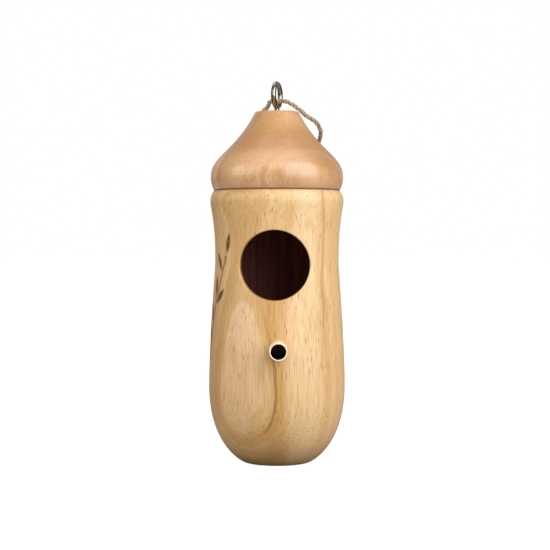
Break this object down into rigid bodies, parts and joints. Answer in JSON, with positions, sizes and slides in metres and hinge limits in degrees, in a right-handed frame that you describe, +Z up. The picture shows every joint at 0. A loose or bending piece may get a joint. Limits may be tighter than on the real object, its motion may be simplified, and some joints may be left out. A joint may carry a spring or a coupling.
{
  "type": "hanging hummingbird nesting house",
  "caption": "Turned wooden hanging nesting house with a round entrance, tube perch, lift-off ogee lid, screw eye and twine hanging loop.",
  "frame": {"origin": "centre of the flat foot, on the turning axis", "axes": "+Z up along the turning axis, -Y out of the front where the entrance and perch are, +X to the right seen from the front"},
  "size_m": [0.0635, 0.0836, 0.1774],
  "materials": {
    "body_wood": "satin clear lacquer over pale straight-grained wood",
    "lid_wood": "satin clear lacquer over warmer, pinker wood",
    "eye_metal": "bright nickel plate",
    "perch_cane": "pale cane, lightly sanded",
    "jute_twine": "three-strand natural jute twine with loose fibres"
  },
  "bodies": {
    "house": {"nest_body": "body_wood", "perch": "perch_cane"},
    "lid": {"lid": "lid_wood", "screw_eye": "eye_metal"},
    "cord_upper": {"hanging_cord_upper": "jute_twine"},
    "cord_tail": {"hanging_cord_tail": "jute_twine"}
  },
  "joints": [
    {"name": "lid_lift", "type": "slide", "parent": "house", "child": "lid", "axis": [0, 0, 1], "range_m": [0, 0.045]},
    {"name": "cord_swing", "type": "hinge", "parent": "lid", "child": "cord_upper", "pos_m": [0, 0, 0.1683], "axis": [0.9537, -0.3007, 0], "range_deg": [0, 140]},
    {"name": "cord_bend", "type": "hinge", "parent": "cord_upper", "child": "cord_tail", "pos_m": [0.00947, 0.03004, 0.134], "axis": [0.9537, -0.3007, 0], "range_deg": [0, 41]}
  ],
  "couplings": [
    {"joint": "cord_bend", "follows": "cord_swing", "ratio": 0.2857}
  ]
}
